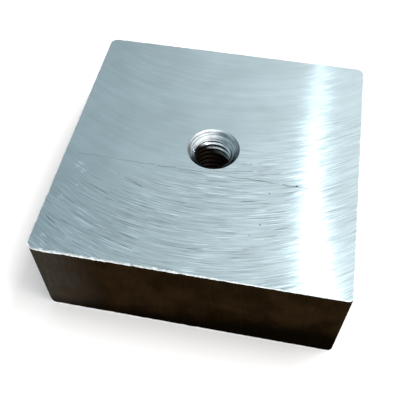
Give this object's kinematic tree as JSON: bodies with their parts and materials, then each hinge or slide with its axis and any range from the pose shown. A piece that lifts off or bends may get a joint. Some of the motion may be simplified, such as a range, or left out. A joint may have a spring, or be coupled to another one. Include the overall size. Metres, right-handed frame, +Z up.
{
  "type": "machined mounting block",
  "caption": "Square steel block sliced from bar, faced on top and tapped through its middle, to clamp or bolt things to.",
  "frame": {"origin": "middle of the bottom face, on the axis of the tapped hole", "axes": "+Z up along the tapped hole, out of the faced top; +X to the right and +Y to the back, square to the sides"},
  "size_m": [0.055, 0.055, 0.02],
  "materials": {
    "machined_steel": "fly-cut and bright on top, dark and as rolled on the sides"
  },
  "bodies": {
    "root": {"mounting_block": "machined_steel"}
  },
  "joints": []
}
